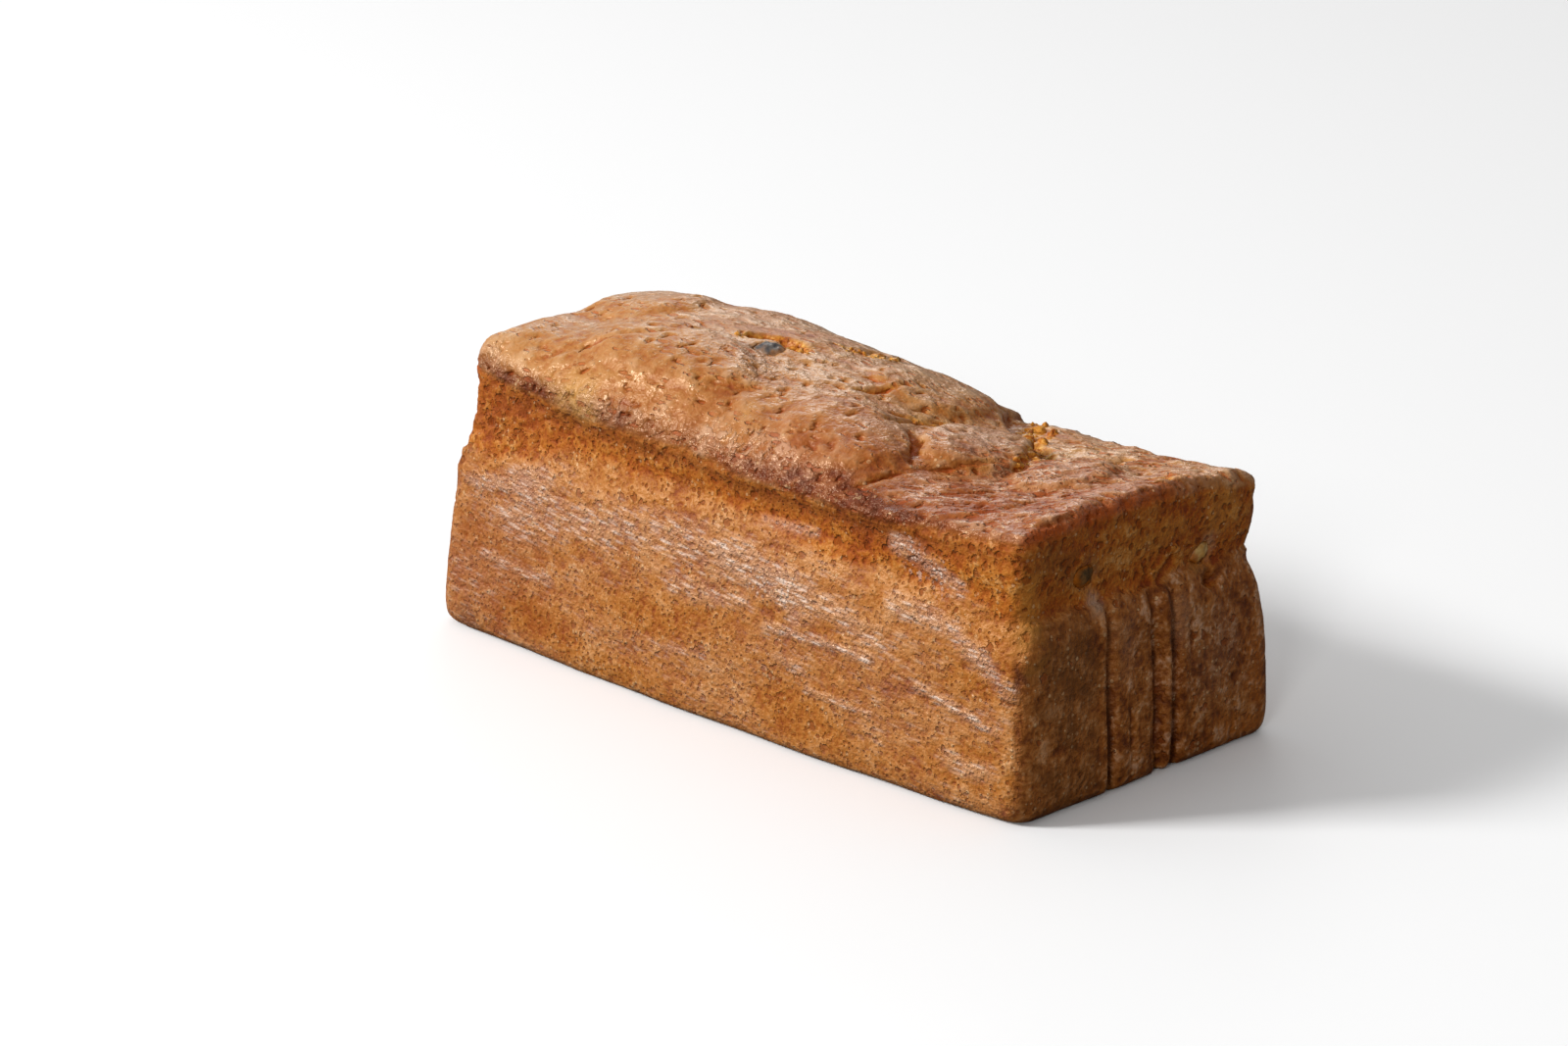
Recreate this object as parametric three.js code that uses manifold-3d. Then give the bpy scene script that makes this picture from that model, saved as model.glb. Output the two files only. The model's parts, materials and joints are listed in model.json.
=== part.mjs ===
// A fruit quick bread: one loaf, baked in a paper-lined tin, standing on its flat base.
// Millimetres, +Z up, +X along the loaf, origin under the middle of the base.
import * as THREE from "three";
import { ImprovedNoise } from "three/addons/math/ImprovedNoise.js";
import { mergeVertices } from "three/addons/utils/BufferGeometryUtils.js";
import Module from "manifold-3d";

// Outline of the base, and how it is rounded
const LENGTH = 197;
const WIDTH = 88;
const SIDE_BOW = 3.2;
const CORNER_RADIUS = 4.5;
const BASE_EDGE_RADIUS = 4;
const BASE_EDGE_TUCK = 2.4;

// Height of the crust's lower edge at the far and near ends, and how it departs from a straight line
const LIP_FAR = 65.5;
const LIP_NEAR = 62.5;
const LIP_SAG = 4.5;
const LIP_BACK_DROP = 3;
const LIP_END_ARCH_FAR = 1.8;
const LIP_END_ARCH_NEAR = 3.5;
const LIP_END_REACH = [25, 5];

// Walls: how far they lean in by the lip, the hollow neck under the lip and the lip's own overhang
const LEAN_FAR = 7;
const LEAN_NEAR = 3.6;
const LEAN_POWER = 1.6;
const NECK_FAR = { depth: 0.8, drop: 13, spread: 7 };
const NECK_MIDDLE = { depth: 2.4, drop: 5.5, spread: 4 };
const NECK_NEAR = { depth: 2.8, drop: 16, spread: 6 };
const LIP_BULGE = 0.8;
const LIP_BULGE_SPREAD = 2.2;

// Crown: the rounded shoulder above the lip and the dome above the shoulder
const SHOULDER_FAR = 11.5;
const SHOULDER_NEAR = 5;
const SHOULDER_FALL = [-40, 75];
const SHOULDER_POWER_FAR = 24;
const SHOULDER_POWER_NEAR = 40;
const SHOULDER_POWER_ACROSS = 6;
const SHOULDER_CORNER = 3;
const DOME_RISE = 8.5;
const DOME_CREST_Y = 2;
const DOME_START = [-87, -46];
const DOME_END = [-5, 58];
const DOME_END_SKEW = 0.6;

// Lobes that burst up through the crust
const LOBES = [
  { x: 46, y: -1, reach: [13, 18], rise: 2.8 },
  { x: 26, y: -24, reach: [18, 15], rise: 2.2 },
  { x: 70, y: 3, reach: [12, 16], rise: 2.2 },
  { x: 14, y: 17, reach: [15, 17], rise: 2 },
  { x: -73, y: 8, reach: [19, 16], rise: 4.2 },
  { x: -34, y: -21, reach: [27, 14], rise: 1.8 },
];
const LOBE_FULLNESS = 0.5;

// Unevenness of the baked surface: rise and spacing of the lumps
const CROWN_LUMPS = { rise: 0.9, spacing: 19 };
const CROWN_RIPPLES = { rise: 0.45, spacing: 7 };
const WALL_LUMPS = { rise: 0.6, spacing: 26 };

// Cracks in the crown, each bowed sideways between two points, and the torn crumb along some of them
const CRACKS = [
  { from: [32, 5], to: [60, -4], bow: 15, width: 3.2, depth: 4.2, crumbs: 10 },
  { from: [43, 18], to: [22, 50], bow: 2, width: 7.5, depth: 2.4, floor: 0.85, crumbs: 6 },
  { from: [-34, -3], to: [-13, 3], bow: 3, width: 3.6, depth: 2.6, crumbs: 5 },
  { from: [-16, 12], to: [-6, 27], bow: 2, width: 2.6, depth: 2.2, crumbs: 8 },
  { from: [28, -14], to: [33, 6], bow: 2, width: 2, depth: 1.8, crumbs: 0 },
  { from: [32, -10], to: [44, -22], bow: 2, width: 2, depth: 2, crumbs: 0 },
  { from: [9, -7], to: [14, 7], bow: -1, width: 2, depth: 1.6, crumbs: 0 },
  { from: [46, -37], to: [46, -25], bow: 1, width: 2, depth: 1.4, crumbs: 0 },
  { from: [69, 18], to: [64, 29], bow: 1.5, width: 2.2, depth: 2, crumbs: 2 },
  { from: [87, 5], to: [90, 16], bow: -1, width: 2.6, depth: 1.8, crumbs: 3 },
];
const CRACK_STEPS = 8;
const CRACK_CLEARANCE = 4;
const CRACK_END_FULLNESS = 0.15;
const CRACK_FLOOR = 0.15;

// Ranges that each crumb's size and place are drawn from, as shares of the crack except for the radius
const CRUMB_SEED = 41;
const CRUMB_RADIUS = [0.9, 1.9];
const CRUMB_ALONG = [0.1, 0.9];
const CRUMB_ASIDE = [0.3, 0.7];
const CRUMB_SUNK = [0.4, 1.4];
const CRUMB_ROUGHNESS = [0.75, 1.25];

// Upright pleats that the paper pressed into the end walls; the far end has the same ones, turned round
const PLEATS = [
  { y: -13, lean: 0, bottom: -2, top: 45, width: 2.6, depth: 1.9 },
  { y: -6.5, lean: 0, bottom: -2, top: 19, width: 2, depth: 1 },
  { y: 4.5, lean: -3, bottom: -2, top: 46, width: 3, depth: 2.2 },
  { y: 9.5, lean: -1, bottom: -2, top: 43, width: 2.6, depth: 2 },
  { y: 17, lean: 0, bottom: 12, top: 34, width: 2.4, depth: 1 },
  { y: 32, lean: 0, bottom: -2, top: 9, width: 2, depth: 1 },
];
const PLEAT_STEPS = 5;
const PLEAT_CLEARANCE = 3;
const PLEAT_FLOOR = 0.1;
const PLEAT_FADE_POWER = 4;

// Pieces of fruit that show, sunk into the crumb, and a hollow left by another
const FRUIT_GAP = 0.35;
const FRUIT_DETAIL = 2;
const FRUIT_WRINKLES = { rise: 0.09, spacing: 0.55 };
const FRUIT_CROWN = { x: -22, y: -3, sunk: 2.6, radii: [4.6, 3.6, 3], turn: 0.3 };
const FRUIT_END_DARK = { y: -19.5, z: 52.5, sunk: 2.1, radii: [2.6, 3.4, 3], turn: 0.2 };
const FRUIT_END_PALE = { y: 21.5, z: 48.5, sunk: 2.1, radii: [2.6, 4, 2.6], turn: 0.3 };
const END_HOLLOW = { y: 22.5, z: 42, sunk: 0.4, radii: [2.6, 3.2, 2.4], turn: 0 };

// Colours, and how matt the crust and the fruit are
const CRUST_COLOR = 0xb06a35;
const CRUST_ROUGHNESS = 0.6;
const FRUIT_ROUGHNESS = 0.45;
const FRUIT_CROWN_COLOR = 0x3b3a45;
const FRUIT_END_DARK_COLOR = 0x55585a;
const FRUIT_END_PALE_COLOR = 0xd8c694;

// Steps of the surface grid along X, Y and Z, and how much closer they lie towards the edges
const GRID = [51, 27, 12];
const CROWN_CROWDING = 0.3;
const WALL_CROWDING = 0.5;
const BELOW_BASE = 1;
const SLAB_HEIGHT = 20;

const { clamp, lerp, smoothstep, seededRandom } = THREE.MathUtils;
const noise = new ImprovedNoise();
const wasm = await Module();
wasm.setup();

function toSolid(geometry) {
  const vertProperties = geometry.attributes.position.array;
  const triVerts = Uint32Array.from(geometry.index.array);
  return new wasm.Manifold(new wasm.Mesh({ numProp: 3, vertProperties, triVerts }));
}

function toGeometry(solid) {
  const mesh = solid.getMesh();
  const geometry = new THREE.BufferGeometry();
  geometry.setAttribute("position", new THREE.BufferAttribute(mesh.vertProperties, 3));
  geometry.setIndex(new THREE.BufferAttribute(mesh.triVerts, 1));
  geometry.computeVertexNormals();
  return geometry;
}

// Shapes a closed geometry by moving each of its points
function shaped(geometry, place) {
  geometry.deleteAttribute("normal");
  geometry.deleteAttribute("uv");
  const merged = mergeVertices(geometry);
  const points = merged.attributes.position;
  const point = new THREE.Vector3();
  for (let i = 0; i < points.count; i++) {
    place(point.fromBufferAttribute(points, i));
    points.setXYZ(i, point.x, point.y, point.z);
  }
  return merged;
}

function lumps(x, y, z, { rise, spacing }) {
  return rise * noise.noise(x / spacing, y / spacing, z / spacing);
}

function bell(offset) {
  return Math.exp(-(offset ** 2));
}

// Height of the crust's lower edge above the base
function lipHeight(x, y) {
  const along = x / LENGTH + 0.5;
  const sag = LIP_SAG * (1 - (2 * x / LENGTH) ** 2);
  const back = LIP_BACK_DROP * smoothstep(y, -WIDTH / 2, WIDTH / 2);
  const [reachFrom, reachTo] = LIP_END_REACH;
  const atEnd = smoothstep(Math.abs(x), LENGTH / 2 - reachFrom, LENGTH / 2 - reachTo);
  const archRise = x < 0 ? LIP_END_ARCH_FAR : LIP_END_ARCH_NEAR;
  const arch = archRise * atEnd * (1 - (2 * y / WIDTH) ** 2);
  return lerp(LIP_FAR, LIP_NEAR, along) - sag - back + arch;
}

// How far a wall stands inside the base outline at a height
function wallInset(x, y, z) {
  const along = clamp(x / LENGTH + 0.5, 0, 1);
  const toEnd = Math.min(1, (2 * x / LENGTH) ** 2);
  const endNeck = x < 0 ? NECK_FAR : NECK_NEAR;
  const neckDepth = lerp(NECK_MIDDLE.depth, endNeck.depth, toEnd);
  const neckDrop = lerp(NECK_MIDDLE.drop, endNeck.drop, toEnd);
  const neckSpread = lerp(NECK_MIDDLE.spread, endNeck.spread, toEnd);
  const belowLip = lipHeight(x, y) - z;
  const lean = lerp(LEAN_FAR, LEAN_NEAR, along) * (Math.max(z, 0) / lipHeight(x, y)) ** LEAN_POWER;
  const neck = neckDepth * bell((belowLip - neckDrop) / neckSpread);
  const bulge = LIP_BULGE * bell(belowLip / LIP_BULGE_SPREAD);
  const intoEdge = clamp(1 - z / BASE_EDGE_RADIUS, 0, 1);
  const tuck = BASE_EDGE_TUCK * (1 - Math.sqrt(1 - intoEdge ** 2));
  return lean + neck - bulge + tuck + lumps(x, y, z, WALL_LUMPS);
}

// Swelling of the lobes at a point of the crown
function lobeRise(x, y) {
  let rise = 0;
  for (const lobe of LOBES) {
    const [reachX, reachY] = lobe.reach;
    const outward = Math.hypot((x - lobe.x) / reachX, (y - lobe.y) / reachY);
    rise += lobe.rise * Math.max(0, 1 - outward ** 2) ** LOBE_FULLNESS;
  }
  return rise;
}

// Height of the crown above the base; u and v run from -1 to 1 along and across it
function crownHeight(x, y, u = 2 * x / LENGTH, v = 2 * y / WIDTH) {
  const shoulder = lerp(SHOULDER_FAR, SHOULDER_NEAR, smoothstep(x, ...SHOULDER_FALL));
  const powerAlong = u < 0 ? SHOULDER_POWER_FAR : SHOULDER_POWER_NEAR;
  const toRim = Math.hypot(
    Math.abs(u) ** (powerAlong * SHOULDER_CORNER),
    Math.abs(v) ** (SHOULDER_POWER_ACROSS * SHOULDER_CORNER),
  ) ** (1 / SHOULDER_CORNER);
  const rounded = Math.sqrt(Math.max(0, 1 - toRim));
  const reach = WIDTH / 2 + (y < DOME_CREST_Y ? DOME_CREST_Y : -DOME_CREST_Y);
  const acrossDome = Math.max(0, 1 - ((y - DOME_CREST_Y) / reach) ** 2);
  const alongDome = smoothstep(x, ...DOME_START) * (1 - smoothstep(x + DOME_END_SKEW * y, ...DOME_END));
  const uneven = lumps(x, y, 0, CROWN_LUMPS) + lumps(x, y, 0, CROWN_RIPPLES) + lobeRise(x, y);
  return lipHeight(x, y) + rounded * (shoulder + uneven) + DOME_RISE * acrossDome * alongDome;
}

// Moves the points near a square corner onto a rounded one
function roundedCorner(x, y, halfLength, halfWidth) {
  const overX = Math.max(0, Math.abs(x) - halfLength + CORNER_RADIUS) / CORNER_RADIUS;
  const overY = Math.max(0, Math.abs(y) - halfWidth + CORNER_RADIUS) / CORNER_RADIUS;
  const backX = CORNER_RADIUS * overX * (1 - Math.sqrt(1 - overY ** 2 / 2));
  const backY = CORNER_RADIUS * overY * (1 - Math.sqrt(1 - overX ** 2 / 2));
  return [x - Math.sign(x) * backX, y - Math.sign(y) * backY];
}

// Moves the steps from -1 to 1 closer together towards both ends
function crowded(step, crowding) {
  return step + crowding * Math.sin(Math.PI * step) / Math.PI;
}

// Takes a point of a cube of side 2 to the loaf: the cube's sides become walls and its top the crown
function placeOnLoaf(point) {
  const u = crowded(point.x, CROWN_CROWDING);
  const v = crowded(point.y, CROWN_CROWDING);
  const up = (crowded(point.z, WALL_CROWDING) + 1) / 2;
  const onTop = point.z === 1;
  const outerX = u * LENGTH / 2;
  const outerY = v * WIDTH / 2;
  const z = lerp(-BELOW_BASE, lipHeight(outerX, outerY), up);
  const inset = wallInset(outerX, outerY, z);
  const halfLength = LENGTH / 2 - inset;
  const halfWidth = WIDTH / 2 - inset + SIDE_BOW * (1 - u ** 2);
  const [x, y] = roundedCorner(u * halfLength, v * halfWidth, halfLength, halfWidth);
  point.set(x, y, onTop ? crownHeight(x, y, u, v) : z);
}

// Point on a crack's middle line, as a share of the way along it
function crackPoint({ from, to, bow }, share) {
  const start = new THREE.Vector2(...from);
  const run = new THREE.Vector2(...to).sub(start);
  const sideways = new THREE.Vector2(-run.y, run.x).normalize();
  const bowed = bow * Math.sin(Math.PI * share);
  return { point: start.addScaledVector(run, share).addScaledVector(sideways, bowed), sideways };
}

// The wedge of bread that a crack leaves open, pointed at both ends
function crackWedge(crack) {
  return shaped(new THREE.BoxGeometry(2, 2, 2, CRACK_STEPS, 1, 1), (point) => {
    const share = (point.x + 1) / 2;
    const fullness = lerp(CRACK_END_FULLNESS, 1, Math.sin(Math.PI * share));
    const atTop = point.z > 0;
    const { floor = CRACK_FLOOR } = crack;
    const halfWidth = atTop ? crack.width : floor * crack.width;
    const middle = crackPoint(crack, share);
    const x = middle.point.x + middle.sideways.x * point.y * halfWidth * fullness;
    const y = middle.point.y + middle.sideways.y * point.y * halfWidth * fullness;
    const rise = atTop ? CRACK_CLEARANCE : -crack.depth * fullness;
    point.set(x, y, crownHeight(middle.point.x, middle.point.y) + rise);
  });
}

// A seeded random number within a range
function drawn(range) {
  return lerp(...range, seededRandom());
}

// A rough crumb on the torn edge of a crack
function crumb(crack) {
  const middle = crackPoint(crack, drawn(CRUMB_ALONG));
  const side = seededRandom() < 0.5 ? -1 : 1;
  const offset = side * crack.width * drawn(CRUMB_ASIDE);
  const x = middle.point.x + middle.sideways.x * offset;
  const y = middle.point.y + middle.sideways.y * offset;
  const radius = drawn(CRUMB_RADIUS);
  const { floor = CRACK_FLOOR } = crack;
  const z = crownHeight(x, y) - floor * crack.depth - radius * drawn(CRUMB_SUNK);
  return shaped(new THREE.IcosahedronGeometry(radius, 0), (point) => {
    point.multiplyScalar(drawn(CRUMB_ROUGHNESS));
    point.add(new THREE.Vector3(x, y, z));
  });
}

// The sliver of bread that a pleat presses out of an end wall; end is 1 at the near end, -1 at the far end
function pleatWedge(pleat, end) {
  return shaped(new THREE.BoxGeometry(2, 2, 2, 1, 1, PLEAT_STEPS), (point) => {
    const share = (point.z + 1) / 2;
    const z = lerp(pleat.bottom, pleat.top, share);
    const outside = point.x * end > 0;
    const fade = Math.sqrt(1 - share ** PLEAT_FADE_POWER);
    const halfWidth = outside ? pleat.width : PLEAT_FLOOR * pleat.width;
    const middle = end * (pleat.y + pleat.lean * share);
    const wall = LENGTH / 2 - wallInset(end * LENGTH / 2, middle, z);
    const x = wall + (outside ? PLEAT_CLEARANCE : -pleat.depth * fade);
    point.set(end * x, middle + point.y * halfWidth, z);
  });
}

// A wrinkled piece of fruit about its own middle, with some room round it
function fruitShape({ radii, turn }, room) {
  const scale = new THREE.Vector3(...radii).addScalar(room);
  const geometry = shaped(new THREE.IcosahedronGeometry(1, FRUIT_DETAIL), (point) => {
    const wrinkle = 1 + lumps(point.x, point.y, point.z, FRUIT_WRINKLES);
    point.multiply(scale).multiplyScalar(wrinkle);
  });
  return geometry.rotateX(turn).rotateZ(turn);
}

function crownPlace({ x, y, sunk }) {
  return new THREE.Vector3(x, y, crownHeight(x, y) - sunk);
}

function endPlace({ y, z, sunk }) {
  return new THREE.Vector3(LENGTH / 2 - wallInset(LENGTH / 2, y, z) - sunk, y, z);
}

const fruits = {
  fruit_crown: { piece: FRUIT_CROWN, place: crownPlace(FRUIT_CROWN), color: FRUIT_CROWN_COLOR },
  fruit_end_dark: { piece: FRUIT_END_DARK, place: endPlace(FRUIT_END_DARK), color: FRUIT_END_DARK_COLOR },
  fruit_end_pale: { piece: FRUIT_END_PALE, place: endPlace(FRUIT_END_PALE), color: FRUIT_END_PALE_COLOR },
};

function makeLoaf() {
  seededRandom(CRUMB_SEED);
  let solid = toSolid(shaped(new THREE.BoxGeometry(2, 2, 2, ...GRID), placeOnLoaf));
  for (const crack of CRACKS) {
    solid = solid.subtract(toSolid(crackWedge(crack)));
  }
  for (const crack of CRACKS) {
    for (let i = 0; i < crack.crumbs; i++) {
      solid = solid.add(toSolid(crumb(crack)));
    }
  }
  for (const end of [1, -1]) {
    for (const pleat of PLEATS) {
      solid = solid.subtract(toSolid(pleatWedge(pleat, end)));
    }
  }
  for (const { piece, place } of Object.values(fruits)) {
    const pocket = fruitShape(piece, FRUIT_GAP).translate(...place.toArray());
    solid = solid.subtract(toSolid(pocket));
  }
  const hollow = fruitShape(END_HOLLOW, 0).translate(...endPlace(END_HOLLOW).toArray());
  solid = solid.subtract(toSolid(hollow));
  const slab = new THREE.BoxGeometry(2 * LENGTH, 2 * WIDTH, SLAB_HEIGHT).translate(0, 0, -SLAB_HEIGHT / 2);
  return toGeometry(solid.subtract(toSolid(shaped(slab, () => {}))));
}

function addPiece(group, name, geometry, color, roughness) {
  const material = new THREE.MeshStandardMaterial({ color, roughness, metalness: 0 });
  const mesh = new THREE.Mesh(geometry, material);
  mesh.name = name;
  group.add(mesh);
  return mesh;
}

const bread = new THREE.Group();
addPiece(bread, "loaf", makeLoaf(), CRUST_COLOR, CRUST_ROUGHNESS);
for (const [name, { piece, place, color }] of Object.entries(fruits)) {
  addPiece(bread, name, fruitShape(piece, 0), color, FRUIT_ROUGHNESS).position.copy(place);
}

export default bread;
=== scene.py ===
import bpy
import json
import math
import random
import numpy as np
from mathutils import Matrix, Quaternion, Vector, noise
from mathutils.kdtree import KDTree

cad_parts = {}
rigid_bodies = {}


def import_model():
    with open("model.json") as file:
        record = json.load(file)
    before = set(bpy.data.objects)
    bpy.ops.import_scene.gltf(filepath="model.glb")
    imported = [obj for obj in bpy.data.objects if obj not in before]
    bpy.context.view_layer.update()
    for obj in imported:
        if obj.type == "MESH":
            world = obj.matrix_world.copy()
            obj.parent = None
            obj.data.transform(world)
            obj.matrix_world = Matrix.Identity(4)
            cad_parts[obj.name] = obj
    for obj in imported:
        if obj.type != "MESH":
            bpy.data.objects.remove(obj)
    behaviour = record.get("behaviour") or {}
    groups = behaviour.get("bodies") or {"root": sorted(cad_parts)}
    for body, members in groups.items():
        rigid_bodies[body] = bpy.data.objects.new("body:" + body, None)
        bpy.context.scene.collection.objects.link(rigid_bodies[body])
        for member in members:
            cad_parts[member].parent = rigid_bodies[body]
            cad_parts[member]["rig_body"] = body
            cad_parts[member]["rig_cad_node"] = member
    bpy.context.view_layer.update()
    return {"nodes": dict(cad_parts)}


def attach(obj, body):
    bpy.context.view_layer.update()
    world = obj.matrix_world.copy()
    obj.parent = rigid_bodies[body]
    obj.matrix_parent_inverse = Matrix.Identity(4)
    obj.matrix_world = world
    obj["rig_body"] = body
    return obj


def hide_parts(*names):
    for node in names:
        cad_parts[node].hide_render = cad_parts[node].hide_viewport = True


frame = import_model()
mm = 0.001
random.seed(12)
print("frame loaded:", sorted(frame["nodes"]))


# small tools

def selectOnly(piece):
    bpy.ops.object.select_all(action="DESELECT")
    piece.select_set(True)
    bpy.context.view_layer.objects.active = piece


def applyModifiers(piece):
    selectOnly(piece)
    for modifier in list(piece.modifiers):
        bpy.ops.object.modifier_apply(modifier=modifier.name)


def copyNode(nodeName, pieceName):
    selectOnly(frame["nodes"][nodeName])
    bpy.ops.object.duplicate()
    piece = bpy.context.view_layer.objects.active
    piece.name = pieceName
    piece.parent = None
    del piece["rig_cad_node"]
    del piece["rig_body"]
    piece.data.materials.clear()
    # loose triangles become one skin
    bpy.ops.object.mode_set(mode="EDIT")
    bpy.ops.mesh.select_all(action="SELECT")
    bpy.ops.mesh.remove_doubles(threshold=0.002 * mm)
    bpy.ops.object.mode_set(mode="OBJECT")
    return piece


def pointsOf(piece):
    count = len(piece.data.vertices)
    places = np.empty(count * 3, np.float32)
    normals = np.empty(count * 3, np.float32)
    piece.data.vertices.foreach_get("co", places)
    piece.data.vertices.foreach_get("normal", normals)
    return places.reshape(-1, 3).astype(float) / mm, normals.reshape(-1, 3).astype(float)


def setPoints(piece, places):
    piece.data.vertices.foreach_set("co", (places * mm).astype(np.float32).ravel())
    piece.data.update()


def addMask(piece, name, values):
    layer = piece.data.attributes.new(name, "FLOAT", "POINT")
    layer.data.foreach_set("value", np.clip(values, 0, 1).astype(np.float32))


def addGroup(piece, name, weights):
    group = piece.vertex_groups.new(name=name)
    for index in np.nonzero(weights > 0.01)[0].tolist():
        group.add([index], float(weights[index]), "REPLACE")


def ramp(low, high, values):
    share = np.clip((values - low) / (high - low), 0, 1)
    return share * share * (3 - 2 * share)


def noiseAt(places, spacing, seed=0, stretch=(1, 1, 1)):
    scaled = places / (spacing * np.array(stretch)) + 31.7 * seed
    return np.array([noise.noise(place) for place in scaled.tolist()])


# distance of flat points to a bent line, and how far along it the nearest spot is
def alongLine(flat, line):
    line = np.array(line, float)
    nearest = np.full(len(flat), 1e9)
    share = np.zeros(len(flat))
    for index, (start, end) in enumerate(zip(line[:-1], line[1:])):
        run = end - start
        part = np.clip((flat - start) @ run / (run @ run), 0, 1)
        away = np.linalg.norm(flat - start - part[:, None] * run, axis=1)
        closer = away < nearest
        nearest[closer] = away[closer]
        share[closer] = (index + part[closer]) / (len(line) - 1)
    return nearest, share


def finishPiece(piece, slot, *nodes):
    selectOnly(piece)
    bpy.ops.object.shade_smooth()
    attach(piece, "root")
    if nodes:
        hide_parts(*nodes)


# node tools

def plug(tree, socket, value):
    if isinstance(value, bpy.types.NodeSocket):
        tree.links.new(value, socket)
    else:
        socket.default_value = value


def addNode(tree, kind, inputs=(), **settings):
    node = tree.nodes.new(kind)
    for name, value in settings.items():
        setattr(node, name, value)
    for name, value in dict(inputs).items():
        plug(tree, node.inputs[name], value)
    return node


def mixColour(tree, amount, first, second):
    return addNode(tree, "ShaderNodeMix", {0: amount, 6: first, 7: second}, data_type="RGBA").outputs[2]


def mixValue(tree, amount, first, second):
    return addNode(tree, "ShaderNodeMix", {0: amount, 2: first, 3: second}, data_type="FLOAT").outputs[0]


def sums(tree, operation, first, *others):
    for other in others:
        first = addNode(tree, "ShaderNodeMath", {0: first, 1: other}, operation=operation).outputs[0]
    return first


def plus(tree, *values):
    return sums(tree, "ADD", *values)


def times(tree, *values):
    return sums(tree, "MULTIPLY", *values)


def most(tree, *values):
    return sums(tree, "MAXIMUM", *values)


def spread(tree, value, low, high, toLow=0.0, toHigh=1.0):
    inputs = {"Value": value, "From Min": low, "From Max": high, "To Min": toLow, "To Max": toHigh}
    return addNode(tree, "ShaderNodeMapRange", inputs, interpolation_type="SMOOTHSTEP").outputs["Result"]


def mask(tree, name):
    return addNode(tree, "ShaderNodeAttribute", attribute_name=name).outputs["Fac"]


def scaledPlace(tree, place, spacing, stretch, turn):
    node = addNode(tree, "ShaderNodeMapping", {"Vector": place}, vector_type="TEXTURE")
    node.inputs["Rotation"].default_value = [math.radians(angle) for angle in turn]
    node.inputs["Scale"].default_value = [spacing * mm * s for s in stretch]
    return node.outputs[0]


def grain(tree, place, spacing, detail, stretch=(1, 1, 1), turn=(0, 0, 0)):
    scaled = scaledPlace(tree, place, spacing, stretch, turn)
    node = addNode(tree, "ShaderNodeTexNoise", {"Vector": scaled, "Scale": 1.0, "Detail": detail})
    return node.outputs["Fac"]


def newMaterial(name):
    material = bpy.data.materials.new(name)
    material.use_nodes = True
    tree = material.node_tree
    place = addNode(tree, "ShaderNodeTexCoord").outputs["Object"]
    return material, tree, tree.nodes["Principled BSDF"], place


# loaf: the solid with a finer skin, sculpted, masked and coloured

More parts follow.
